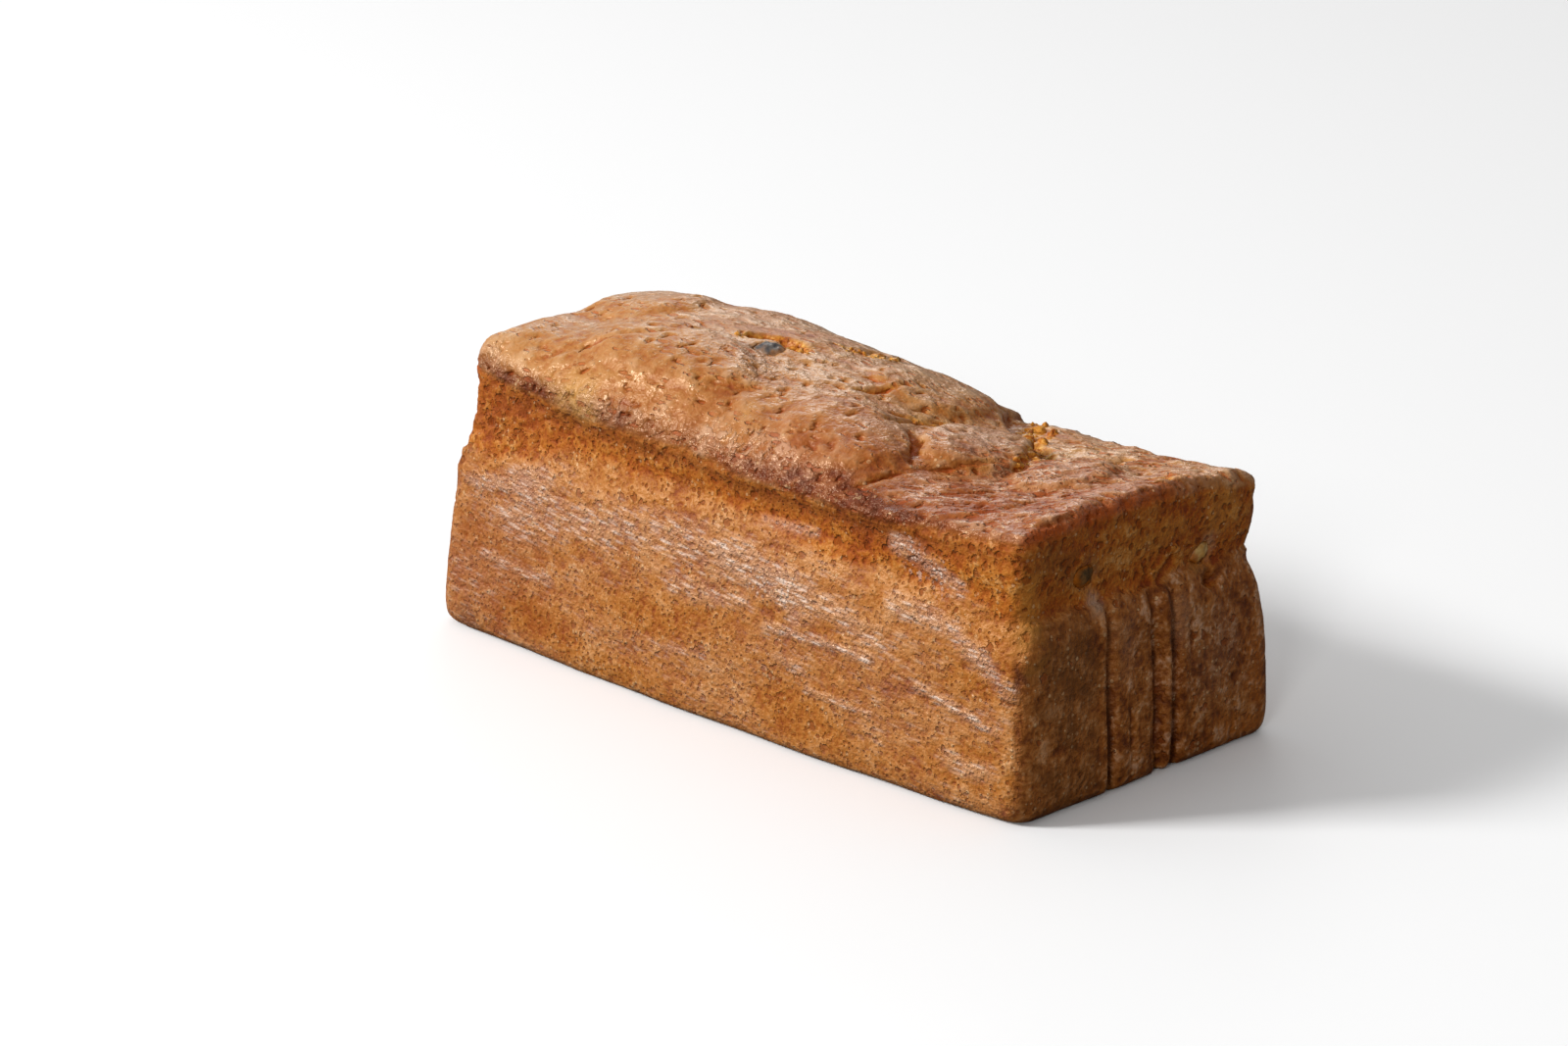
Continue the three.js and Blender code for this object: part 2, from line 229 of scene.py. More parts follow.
bread = {
    "length": 197.0,
    "width": 88.0,
    "voxel": 0.86,          # edge of the skin's faces, mm
    "smoothing": (0.5, 6),  # factor and passes that take out the solid's flats
    "baseHeight": 0.12,     # faces below this are the underside
    "baseNormal": -0.99,    # and face down at least this much
    "baseAngle": 4.0,       # degrees that the dissolved underside may bend
    # lower edge of the crust, as in the solid
    "edgeFar": 65.5,
    "edgeNear": 62.5,
    "edgeSag": 4.5,
    "edgeBackDrop": 3.0,
    "edgeEndArch": (1.8, 3.5),
    "edgeEndReach": (25.0, 5.0),
    # how much higher the skin's edge is than the solid's, along x
    "edgeRise": [
        (-98, 1), (-60, 1.5), (-33, 1.9), (-20, 2.7), (-12, 3.6), (-4, 2.9), (7, 1.1),
        (19, 1.4), (32, 1.6), (55, 0.8), (66, 1.5), (76, 1.5), (87, 1.2), (94, 0.8),
    ],
    # height along x where the smooth walls end and the crumbly neck starts
    "neckLine": [
        (-98, 43), (-75, 47), (-52, 52), (-10, 54.5), (30, 49.5), (75, 48), (88, 46), (98, 45),
    ],
    # height of the dark band above the crust's edge, and how dark it is, along x
    "rimHeight": [
        (-98, 3.5), (-60, 4), (-27, 5), (-5, 4), (15, 5), (35, 6.5), (65, 5), (80, 3.5), (98, 4),
    ],
    "rimDepth": [
        (-98, 0.3), (-85, 0.7), (-55, 0.9), (-40, 0.7), (-28, 0.4), (0, 0.6), (25, 0.9),
        (35, 1.0), (62, 1.0), (72, 0.7), (82, 0.4), (90, 0.5),
    ],
    "rimBackShare": 0.6,    # how much of the band's darkness is lost at the back
    # swollen parts of the crown: x, y, reach along x and y, rise
    "lobes": [
        (46, -1, 12.5, 17, 1.6), (26, -25, 17, 14, 0.8), (68, 3, 11, 15, 1.0),
        (-36, -21, 26, 13, 0.7), (14, 18, 14, 16, 0.8),
    ],
    # line on the crown (x, y), half width, depth, how torn
    "cracks": [
        ([(28, -14), (28, -3), (32, 5), (36, 12), (40, 17)], 1.1, 1.7, 0.5),
        ([(40, 17), (45, 18.5), (51, 15), (57, 4), (59, -3)], 2.0, 2.4, 1.0),
        ([(43, 19), (37, 28), (29, 38)], 4.0, 0.2, 0.9),
        ([(33, -11), (39, -15.5), (44, -22.5)], 1.1, 1.6, 0.2),
        ([(46.5, -22.5), (52, -15), (58, -2.5)], 1.0, 1.0, 0.1),
        ([(9, -6), (12, -2), (14, 6)], 1.0, 1.0, 0.5),
        ([(23, -7), (27, -2), (29.5, 6)], 1.0, 1.1, 0.7),
        ([(40, -40), (43, -36.5), (44.5, -31.5), (46.5, -25.5)], 0.9, 1.2, 0.2),
        ([(18.5, -27.5), (22, -31.5)], 0.8, 0.8, 0.0),
        ([(68, 19), (65, 28)], 1.1, 1.4, 0.3),
        ([(86, 7), (90, 10), (91, 15)], 1.6, 1.2, 1.0),
        ([(-43, -10), (-37, -8)], 1.5, 1.5, 0.7),
        ([(-31, -2), (-26, 3)], 2.2, 1.8, 0.9),
        ([(-24, 4), (-19, 3), (-14, 2)], 2.0, 1.0, 1.0),
        ([(-15, 14), (-10, 17), (-7, 25)], 2.2, 0.4, 1.0),
        ([(-70, -35), (-63, -31), (-53, -26), (-46, -20), (-39, -12)], 1.3, 0.7, 0.0),
        ([(-22, -29), (-16, -28), (-10, -26), (-4, -22)], 1.1, 0.7, 0.1),
        ([(58, -30), (64, -22), (66, -14)], 0.9, 0.8, 0.0),
        ([(74, -33), (78, -24), (77, -15)], 0.9, 0.8, 0.0),
    ],
    "crackEnd": 0.04,       # share of a crack's length where it runs out
    "crackWidth": 0.6,      # share of the width that is left there
    # line on the end wall (y, z), half width, depth
    "pleats": [
        ([(-13.4, 0), (-13.6, 45)], 1.2, 1.3),
        ([(1.5, 0), (3.5, 26), (1.5, 45)], 1.3, 1.4),
        ([(2, 43), (10, 49.5)], 1.1, 1.3),
        ([(8.8, 0), (8.6, 43)], 1.2, 1.3),
        ([(14, 10), (14.5, 34)], 0.6, 0.6),
        ([(19, 4), (19.5, 38)], 0.5, 0.4),
        ([(-6.5, 0), (-6, 18)], 0.6, 0.7),
        ([(29, 0), (29, 11)], 0.6, 0.7),
        ([(-27, 4), (-26, 30)], 0.6, 0.3),
    ],
    "pleatDepth": 0.8,      # mean share of a pleat's depth that is carved
    # line on the end wall (y, z), half width, height
    "ribs": [
        ([(5.4, 0), (6.2, 26), (5.2, 42)], 1.3, 0.7),
        ([(4, 46), (11, 51.5)], 1.3, 0.9),
        ([(-15.8, 0), (-16, 44)], 1.1, 0.5),
    ],
    "ledge": (45.0, 1.0),   # height on the end walls where the lower part stands out, and how far
    "lip": (0.8, 0.9),      # how far the crust's edge hangs over, and the groove below it goes in
    "lipShare": [(-98, 0.0), (-30, 0.1), (25, 0.3), (45, 1.0), (98, 0.6)],
    # how deep the groove under the crust's edge goes, and how dark its painted shade is, along x
    "grooveShare": [(-98, 0.1), (-70, 0.6), (-30, 1.0), (60, 1.0), (85, 0.5), (98, 0.3)],
    "coarseShare": [(-98, 1.0), (-60, 0.8), (-35, 0.15), (65, 0.15), (90, 0.5), (98, 0.5)],
    "endGrooveShade": 0.7,       # share of the groove's painted shade on the end walls
    "cornerCrumb": 0.8,     # how crumbly the upright corners are
    "crownRim": 0.4,        # share of the crown's relief that the dark band loses
    "wallCrumb": 0.8,       # share of the walls' relief that the crumbly neck loses
    "wrinkleTurn": 45.0,    # degrees between the wrinkles of the near crown and the loaf's length
    # bands along the crust's edge: middle above the edge, half width
    "bands": {
        "grooveAndShade": (-2.6, 2.4), "lip": (1.3, 1.2), "endLip": (0.6, 1.8),
    },
    # where each share goes from 0 to 1: a height or place in mm, or a part of a normal or noise
    "limits": {
        "crown": (-0.8, 0.8), "upright": (0.98, 0.8), "rim": (-0.6, 1.4), "rimTop": (2.5, -2.5),
        "rimBack": (0, 20), "crumbly": (-1.5, 1.5), "offBase": (0.12, 2.0),
        "cornerNormal": (0.3, 0.55), "cornerNoise": (-0.2, 0.3), "cornerHeight": (8, 40),
        "sideNormal": (0.4, 0.8), "endNormal": (0.5, 0.8), "endLowNormal": (0.3, 0.6),
        "endLipNormal": (0.15, 0.6), "endLipPlace": (30, -10), "wrinkled": (38, 60),
        "belowLedge": (-1, 1), "ledgeStep": (-0.5, 0.5), "ledgeFoot": (14, 2), "lobe": (1.08, 0.84),
        "lobeFoot": (1.0, 6.0), "crackDepth": (0, 0.9), "crackTorn": (0.05, 0.5),
        "pleat": (2.2, 0.4), "rib": (1.6, 0.3), "pit": (1.3, 0.4), "standing": (0.0, 2.0),
        "thinGrease": (-0.2, 0.5), "streak": (1.8, 0.0), "greaseNormal": (0.7, 0.95),
        "greaseEnd": (97, 93), "baked": (0, 1.2), "bloom": (-30, 5), "endShade": (25, -15),
        "stainAndShading": (1.1, 0.1), "shine": (1.1, 0.3),
    },
    # uneven edges and heights: amount, spacing in mm, seed and stretch of each noise
    "noises": {
        "crustEdge": [(0.7, 9, 1)], "neckEdge": [(2.5, 7, 2)], "corner": [(1, 6, 18)],
        "endShade": [(3, 6, 13)], "ledge": [(1.6, 6, 13)],
        "lobeEdge": [(0.10, 9, 11), (0.05, 3, 12)], "lip": [(1.2, 5, 15)],
        "crackEdge": [(0.8, 2.2, 3)], "tornCrumb": [(0.7, 1.9, 4), (0.5, 3.4, 5)],
        "pleat": [(0.7, 9, 22)], "pit": [(0.6, 1.6, 9)],
        "greaseEdge": [(0.7, 4, 10, (3, 3, 1)), (0.4, 1.2, 16, (3, 3, 1))],
        "thinGrease": [(1, 11, 17, (3, 3, 1))], "rim": [(0.5, 8, 6)], "grooveAndShade": [(0.6, 7, 19)],
        "glint": [(3, 4, 20)], "stainEdge": [(0.5, 5, 7), (0.25, 1.8, 21)],
    },
    # region, spacing, height and stretch of each layer of cloudy relief
    "relief": [
        ("crown", 10.0, 0.7),
        ("crown", 4.5, 0.5),
        ("crown", 2.2, 0.2),
        ("wrinkled", 2.6, 1.5, (3, 1, 1)),
        ("rim", 3.4, 1.0),
        ("walls", 4.0, 0.3, (6, 4, 1)),
        ("greasy", 1.6, 0.35, (4, 4, 1)),
        ("coarse", 1.8, 0.6),
        ("coarse", 5.5, 0.8),
    ],
    # how many, radius, depth and slimness of the small holes in each region
    "pits": {
        "crown": (300, (0.8, 1.5), (0.4, 0.8), (1, 2.6)),
        "rim": (140, (0.6, 1.1), (0.4, 0.8), (1, 2)),
        "walls": (520, (0.5, 0.9), (0.3, 0.7), (1, 2)),
        "coarse": (420, (0.6, 1.2), (0.4, 0.9), (1, 2)),
    },
    "pitRegion": 0.5,       # a hole's middle lies where its region is stronger than this
    "pitReach": 1.4,        # radii from the middle to the last point that a hole moves
    # pale streaks on the long walls, grease with painted sheen: line (x, z), half width, strength
    "streaks": [
        ([(-86, 38), (-76, 41), (-60, 43)], 3.5, 0.9),
        ([(-72, 34), (-50, 38), (-30, 40), (-5, 41), (18, 41)], 5.5, 0.7),
        ([(5, 41), (18, 40), (31, 38)], 5.0, 1.0),
        ([(-12, 31), (12, 33)], 3.0, 0.6),
        ([(20, 28.3), (38, 29), (53, 29)], 1.4, 1.0),
        ([(34, 38), (54, 34)], 3.0, 0.7),
        ([(58, 42.5), (70, 42), (77, 40.5), (86, 36), (92.5, 31)], 2.4, 0.9),
        ([(67, 25.5), (80, 23), (91, 20.3)], 1.1, 1.0),
        ([(34, 16.5), (45, 16.2), (53, 15.4)], 1.1, 0.9),
        ([(77, 11.5), (88, 11)], 2.5, 0.6),
        ([(-80, 21), (-55, 20.5)], 1.4, 0.6),
        ([(-18, 15), (0, 16)], 1.2, 0.5),
        ([(15, 51.8), (32, 53.2)], 1.2, 0.8),
        ([(58, 56), (65, 54.6), (75, 50)], 2.2, 1.0),
        ([(24, 22), (32, 21)], 1.6, 0.6),
    ],
    "thinGrease": 0.22,     # strength of the grease, with its painted sheen, all over the long walls
    "glints": [             # clusters of painted glints on the long walls (x, z), radius
        ((62, 54.5), 6.0), ((70, 52), 6.0), ((16, 39), 6.0), ((26, 38), 4.0), ((-82, 38), 4.0),
    ],
    # shiny patches of the crust, painted with sheen and made less rough: middle, reach along each axis,
    # strength
    "shine": [
        ((8, -37, 66), (30, 9, 6), 1.0),
        ((-38, -39, 67), (24, 8, 5), 0.8),
        ((-84, -36, 68), (12, 10, 6), 0.5),
        ((66, -4, 66), (14, 14, 9), 0.5),
        ((84, -28, 63), (14, 14, 6), 0.5),
        ((-14, -14, 76), (22, 9, 9), 0.5),
    ],
    # coloured spots, mostly stains, some painted shade and one painted light: middle, reach along each
    # axis, colour, strength
    "stainsAndShading": [
        ((-50, -38, 67), (13, 9, 9), "pale", 0.75),
        ((2, -31, 67), (9, 8, 9), "pale", 0.5),
        ((25, 0, 71), (4, 4, 9), "pale", 0.5),
        ((54, -9, 67), (4, 4, 9), "pale", 0.4),
        ((54, 21, 64), (6, 6, 9), "pale", 0.5),
        ((46, 0, 69), (13, 16, 9), "ashen", 0.6),
        ((72, 3, 65), (10, 9, 9), "ashen", 0.35),
        ((-30, -6, 77), (7, 4, 9), "ashen", 0.4),
        ((-24, -6, 76), (5, 3, 9), "dusky", 0.5),
        ((-86, -44, 3), (6, 9, 6), "burnt", 0.8),
        ((-38, -44, 0), (3, 9, 3), "burnt", 0.7),
        ((-24, -44, 0), (3, 9, 3), "burnt", 0.7),
        # painted shade on the left of the front wall, where the key lamp is strongest
        ((-80, -44, 20), (42, 9, 28), "umberShade", 0.8),
        ((-85, -42, 56), (34, 12, 9), "umberShade", 0.6),
        # painted light: lifts a shadowed spot on the far side of the crown
        ((27, 31, 63), (6, 6, 4), "orange", 0.7),
        ((50, -42, 63), (24, 7, 6), "char", 0.6),
        ((72, -30, 65), (24, 14, 8), "russet", 0.55),
        ((24, -33, 70), (16, 9, 9), "russet", 0.35),
        # olive brown, darker as painted shade, on the front half of the near end and under its rim
        ((97, -28, 32), (9, 15, 22), "oliveShade", 0.85),
        ((97, -30, 59), (9, 14, 5), "oliveShade", 0.7),
        ((97, -28, 5), (9, 20, 12), "oliveShade", 0.85),
        ((97, 24, 23), (9, 11, 15), "purple", 0.5),
        ((97, 28, 4), (9, 12, 7), "orange", 0.5),
        ((97, 36, 18), (9, 6, 14), "orange", 0.4),
        ((97, 11.5, 36), (9, 3.5, 10), "ashen", 0.35),
        ((97, -8, 34), (9, 5, 12), "ashen", 0.25),
        ((97, -16.5, 45.5), (9, 4, 4), "white", 0.4),
        ((97, -20, 53), (9, 6, 5), "dusky", 0.75),
        ((97, 2, 56), (9, 16, 5), "golden", 0.4),
        ((97, 20, 47.5), (9, 6, 3.5), "pale", 0.7),
        ((97, 23, 49), (9, 3.5, 3.5), "white", 0.6),
        ((97, 27, 58), (9, 9, 7), "golden", 0.5),
        ((94, -38, 45), (6, 6, 14), "golden", 0.5),
    ],
    "baked": (0.08, 0.008, -0.018),     # how well baked the crown is in the middle, and per mm of x and y
    "rimStrength": 1.3,
    "hollowPasses": 10,     # smoothing passes before hollow and proud points are measured
    "hollowDepth": 0.7,     # mm that count as fully hollow
    "proudHeight": 0.5,     # mm that count as fully proud
    # crumbs in the torn cracks: count, radius, share of it that is sunk, how torn the place is
    "crumbs": (150, (0.6, 1.4), 0.75, 0.6),
    "crumbShape": ((0.7, 1.3), 0.8, 0.8),   # stretch, unevenness and its spacing in radii
    # larger lumps where the crust has broken: place, radius
    "lumps": [
        ((-8, 23, 76), 1.8), ((-7, 26, 76), 1.5), ((-11, 17, 77), 1.6),
        ((-18, 3, 76), 1.7), ((-24, 1, 76), 1.4), ((-21, 0.5, 76), 1.2),
        ((44, 18, 66), 2.2), ((50, 15.5, 66), 2.0), ((55, 8, 66), 1.7),
        ((38, 24, 66), 2.4), ((33, 33, 65), 2.2),
    ],
}


def crustEdgeHeight(x, y):
    length, width = bread["length"], bread["width"]
    along = x / length + 0.5
    sag = bread["edgeSag"] * (1 - (2 * x / length) ** 2)
    back = bread["edgeBackDrop"] * ramp(-width / 2, width / 2, y)
    reachFrom, reachTo = bread["edgeEndReach"]
    atEnd = ramp(length / 2 - reachFrom, length / 2 - reachTo, np.abs(x))
    archFar, archNear = bread["edgeEndArch"]
    arch = np.where(x < 0, archFar, archNear) * atEnd * (1 - (2 * y / width) ** 2)
    return bread["edgeFar"] + (bread["edgeNear"] - bread["edgeFar"]) * along - sag - back + arch


# value at each x of a line given by a few points
def onLine(x, name):
    places, values = zip(*bread[name])
    return np.interp(x, places, values)


def past(name, values):
    low, high = bread["limits"][name]
    return ramp(low, high, values)


def band(name, above):
    middle, halfWidth = bread["bands"][name]
    return np.exp(-((above - middle) / halfWidth) ** 2)


def uneven(places, name):
    return sum(amount * noiseAt(places, *rest) for amount, *rest in bread["noises"][name])


# strength of the strongest of several lines at each point
def strongest(flat, lines, limit, ragged=0.0):
    total = np.zeros(len(flat))
    for line, halfWidth, strength in lines:
        away = alongLine(flat, line)[0]
        total = np.maximum(total, strength * past(limit, away / halfWidth + ragged))
    return total


def makeLoaf():
    piece = copyNode("loaf", "loaf_bread")
    remesh = piece.modifiers.new("fine skin", "REMESH")
    remesh.mode = "VOXEL"
    remesh.voxel_size = bread["voxel"] * mm
    smooth = piece.modifiers.new("no flats", "SMOOTH")
    smooth.factor, smooth.iterations = bread["smoothing"]
    applyModifiers(piece)
    print("loaf skin:", len(piece.data.polygons), "faces")
    return piece


# flat places on each of the long walls, and which points are on it
def longWalls(places, normals):
    for side in (-1, 1):
        yield np.column_stack([-side * places[:, 0], places[:, 2]]), side * normals[:, 1] > 0


# dried grease on the long walls, which gets painted sheen: thin all over, thick along the streaks
def findGrease(places, normals, crumbly):
    ragged = uneven(places, "greaseEdge")
    greaseAndSheen = bread["thinGrease"] * past("thinGrease", uneven(places, "thinGrease")) * (1 - crumbly)
    for flat, onWall in longWalls(places, normals):
        greaseAndSheen = np.maximum(greaseAndSheen, strongest(flat, bread["streaks"], "streak", ragged) * onWall)
    return greaseAndSheen * past("greaseNormal", np.abs(normals[:, 1])) * past("greaseEnd", np.abs(places[:, 0]))


# where each kind of surface is, from 0 to 1
def findRegions(places, normals):
    x, y, z = places.T
    endward, sideward = np.abs(normals[:, 0]), np.abs(normals[:, 1])
    above = z - crustEdgeHeight(x, y) - onLine(x, "edgeRise") - uneven(places, "crustEdge")
    crown = past("crown", above)
    underTop = past("rimTop", above - onLine(x, "rimHeight"))
    rim = past("rim", above) * underTop * past("upright", normals[:, 2])
    crumbly = past("crumbly", z - onLine(x, "neckLine") + uneven(places, "neckEdge")) * (1 - crown)
    corner = past("cornerNormal", endward) * past("cornerNormal", sideward)
    corner *= past("cornerNoise", uneven(places, "corner")) * (1 - crown) * past("cornerHeight", z)
    crumbly = np.maximum(crumbly, bread["cornerCrumb"] * corner)
    belowLedge = bread["ledge"][0] + uneven(places, "endShade") - z
    endLip = past("endLipNormal", endward) * band("endLip", above) * past("endLipPlace", y)
    return {
        "crown": crown * (1 - bread["crownRim"] * rim),
        "rim": rim,
        "crumbly": crumbly,
        "coarse": crumbly * onLine(x, "coarseShare"),
        # the groove under the crust's edge, carved in and darkened with painted shade
        "grooveAndShade": band("grooveAndShade", above) * onLine(x, "grooveShare"),
        "walls": (1 - crown) * past("offBase", z) * (1 - bread["wallCrumb"] * crumbly),
        "wrinkled": crown * past("wrinkled", x) * (1 - rim),
        "atEnd": past("endNormal", endward) * (1 - crown),
        # the lower end walls, which get painted shade, starting round the corner
        "endLowShade": past("endLowNormal", endward) * past("belowLedge", belowLedge),
        "endLip": endLip,
        "onSide": past("sideNormal", sideward) * (1 - crown),
        # where the walls' grease lies, which gets painted sheen
        "greasy": findGrease(places, normals, crumbly) * (1 - crown),
        "above": above,
    }


def addRelief(piece, number, region, spacing, height, stretch=(1, 1, 1)):
    bpy.ops.object.empty_add()
    gauge = bpy.context.active_object
    gauge.scale = [spacing * mm * s for s in stretch]
    if region == "wrinkled":
        gauge.rotation_euler = (0, 0, math.radians(bread["wrinkleTurn"]))
    bpy.context.view_layer.update()
    texture = bpy.data.textures.new(f"relief {number}", "CLOUDS")
    texture.noise_scale = 1.0
    layer = piece.modifiers.new(f"relief {number}", "DISPLACE")
    layer.texture = texture
    layer.texture_coords = "OBJECT"
    layer.texture_coords_object = gauge
    layer.vertex_group = region
    layer.strength = height * mm
    applyModifiers(piece)
    bpy.data.objects.remove(gauge)


def swellLobes(places, regions):
    lift = np.zeros(len(places))
    wobble = uneven(places, "lobeEdge")
    for x, y, reachX, reachY, rise in bread["lobes"]:
        outward = np.hypot((places[:, 0] - x) / reachX, (places[:, 1] - y) / reachY) + wobble
        lift += rise * past("lobe", outward)
    return lift * past("lobeFoot", regions["above"])


# the crust's ragged lower edge hangs over the neck
def rollLip(places, regions):
    over, under = bread["lip"]
    ragged = (1 + uneven(places, "lip")) * onLine(places[:, 0], "lipShare")
    return ragged * over * band("lip", regions["above"]) - under * regions["grooveAndShade"]


# presses every crack into the crown and tells how torn each point is
def carveCracks(places, regions):
    torn = np.zeros(len(places))
    sunk = np.zeros(len(places))
    ragged = uneven(places, "crackEdge")
    first, last = bread["crackEnd"], 1 - bread["crackEnd"]
    for line, halfWidth, depth, howTorn in bread["cracks"]:
        away, share = alongLine(places[:, :2], line)
        taper = np.sqrt(np.sin(np.pi * np.clip(share, first, last)))
        reach = halfWidth * (bread["crackWidth"] + taper)
        edge = np.clip(1 - np.maximum(0, away + ragged) / reach, 0, 1)
        sunk = np.maximum(sunk, depth * taper * past("crackDepth", edge))
        torn = np.maximum(torn, howTorn * past("crackTorn", edge))
    crumbs = torn * uneven(places, "tornCrumb")
    return regions["crown"] * (crumbs - sunk), regions["crown"] * torn


def carveEnds(places, normals, regions):
    moved = np.zeros(len(places))
    ledgeHeight, ledgeDepth = bread["ledge"]
    below = ledgeHeight + uneven(places, "ledge") - places[:, 2]
    step = ledgeDepth * past("ledgeStep", below) * past("ledgeFoot", below)
    pleatDepth = bread["pleatDepth"] + uneven(places, "pleat")
    for end in (1, -1):
        flat = np.column_stack([end * places[:, 1], places[:, 2]])
        atThisEnd = regions["atEnd"] * (end * normals[:, 0] > 0)
        sunk = pleatDepth * strongest(flat, bread["pleats"], "pleat")
        proud = strongest(flat, bread["ribs"], "rib")
        moved += (step + proud - sunk) * atThisEnd
    return moved


def dotPits(places, normals, regions):
    tree = KDTree(len(places))
    for index, place in enumerate(places.tolist()):
        tree.insert(place, index)
    tree.balance()
    depthAt = np.zeros(len(places))
    ragged = 1 + uneven(places, "pit")
    for region, (count, radii, depths, slimness) in bread["pits"].items():
        candidates = np.nonzero(regions[region] > bread["pitRegion"])[0].tolist()
        for middle in random.sample(candidates, count):
            radius = random.uniform(*radii)
            depth = random.uniform(*depths)
            slim = random.uniform(*slimness)
            across = Vector(normals[middle]).orthogonal()
            across.rotate(Quaternion(normals[middle], random.uniform(0, math.tau)))
            reach = radius * math.sqrt(slim) * bread["pitReach"]
            for place, index, away in tree.find_range(places[middle].tolist(), reach):
                offset = place - Vector(places[middle])
                sideways = offset.dot(across)
                away = math.sqrt(max(0, away ** 2 - sideways ** 2) / slim + sideways ** 2 * slim)
                hollow = depth * past("pit", away * ragged[index] / radius)
                depthAt[index] = max(depthAt[index], hollow)
    return -depthAt


# how far each point lies inside (positive) or outside a smoothed copy of the skin
def hollowness(piece, passes):
    places, normals = pointsOf(piece)
    ends = np.empty(len(piece.data.edges) * 2, np.int32)
    piece.data.edges.foreach_get("vertices", ends)
    first, second = ends.reshape(-1, 2).T
    count = len(places)
    links = np.bincount(first, minlength=count) + np.bincount(second, minlength=count)
    soft = places.copy()
    for _ in range(passes):
        for axis in range(3):
            total = np.bincount(first, soft[second, axis], count)
            total += np.bincount(second, soft[first, axis], count)
            soft[:, axis] = 0.5 * soft[:, axis] + 0.5 * total / links
    return np.einsum("ij,ij->i", soft - places, normals)


def sculptLoaf(piece):
    places, normals = pointsOf(piece)
    regions = findRegions(places, normals)
    swollen = swellLobes(places, regions) + rollLip(places, regions)
    setPoints(piece, places + normals * swollen[:, None])
    for name in sorted({layer[0] for layer in bread["relief"]}):
        addGroup(piece, name, regions[name])
    for number, layer in enumerate(bread["relief"]):
        addRelief(piece, number, *layer)
    piece.vertex_groups.clear()
    places, normals = pointsOf(piece)
    moved, torn = carveCracks(places, regions)
    moved += carveEnds(places, normals, regions)
    moved += dotPits(places, normals, regions)
    moved *= past("standing", places[:, 2])
    setPoints(piece, places + normals * moved[:, None])
    print("loaf sculpted")
    return regions, torn


# clusters of painted glints on both long walls
def findGlints(places, normals, regions):
    glints = np.zeros(len(places))
    ragged = uneven(places, "glint")
    for flat, onWall in longWalls(places, normals):
        for middle, radius in bread["glints"]:
            away = np.linalg.norm(flat - middle, axis=1) + ragged
            glints = np.maximum(glints, ramp(radius, 0, away) * onWall)
    return glints * regions["onSide"]


# lays the coloured spots over each other, and returns colour and strength
def mixStainsAndShading(places, ragged):
    tint = np.zeros((len(places), 4))
    for middle, reach, colour, strength in bread["stainsAndShading"]:
        away = np.linalg.norm((places - middle) / reach, axis=1) + ragged
        amount = (strength * past("stainAndShading", away))[:, None]
        tint = tint * (1 - amount) + np.array(crust[colour]) * amount
    return tint


# shiny patches, which get painted sheen and less roughness
def findShine(places, ragged):
    shine = np.zeros(len(places))
    for middle, reach, strength in bread["shine"]:
        away = np.linalg.norm((places - middle) / reach, axis=1) + ragged
        shine = np.maximum(shine, strength * past("shine", away))
    return shine


def paintLoaf(piece, regions, torn):
    places, normals = pointsOf(piece)
    x, y = places[:, 0], places[:, 1]
    hollow = hollowness(piece, bread["hollowPasses"])
    ragged = uneven(places, "stainEdge")
    bakedMiddle, bakedAlong, bakedAcross = bread["baked"]
    rim = regions["rim"] * onLine(x, "rimDepth") * (bread["rimStrength"] + uneven(places, "rim"))
    # where the groove's painted shade falls: the long walls and the front of the end walls
    shaded = np.maximum(regions["onSide"], bread["endGrooveShade"] * regions["atEnd"] * past("endShade", y))
    tint = mixStainsAndShading(places, ragged)
    masks = {
        "hollow": hollow / bread["hollowDepth"],
        "proud": -hollow / bread["proudHeight"],
        "crown": past("crown", regions["above"]),
        "baked": past("baked", bakedMiddle + bakedAlong * x + bakedAcross * y),
        "rim": rim * (1 - bread["rimBackShare"] * past("rimBack", y)),
        "crumbly": regions["crumbly"],
        "torn": torn,
        "endLowShade": regions["endLowShade"],
        "bloom": regions["endLowShade"] * past("bloom", y),
        "endLip": regions["endLip"],
        "onEnd": regions["atEnd"],
        "wrinkled": regions["wrinkled"],
        # painted shade in the groove under the crust's edge
        "grooveAndShade": regions["grooveAndShade"] * shaded * (1 + uneven(places, "grooveAndShade")),
        "greaseAndSheen": regions["greasy"],
        "glints": findGlints(places, normals, regions),
        "shine": findShine(places, ragged) * regions["crown"],
        "stainAndShading": tint[:, 3],
    }
    for name, values in masks.items():
        addMask(piece, name, values)
    tint[:, :3] /= np.maximum(tint[:, 3:], 0.001)
    layer = piece.data.attributes.new("stainAndShadingColour", "FLOAT_COLOR", "POINT")
    layer.data.foreach_set("color", tint.astype(np.float32).ravel())
    print("loaf masks painted")


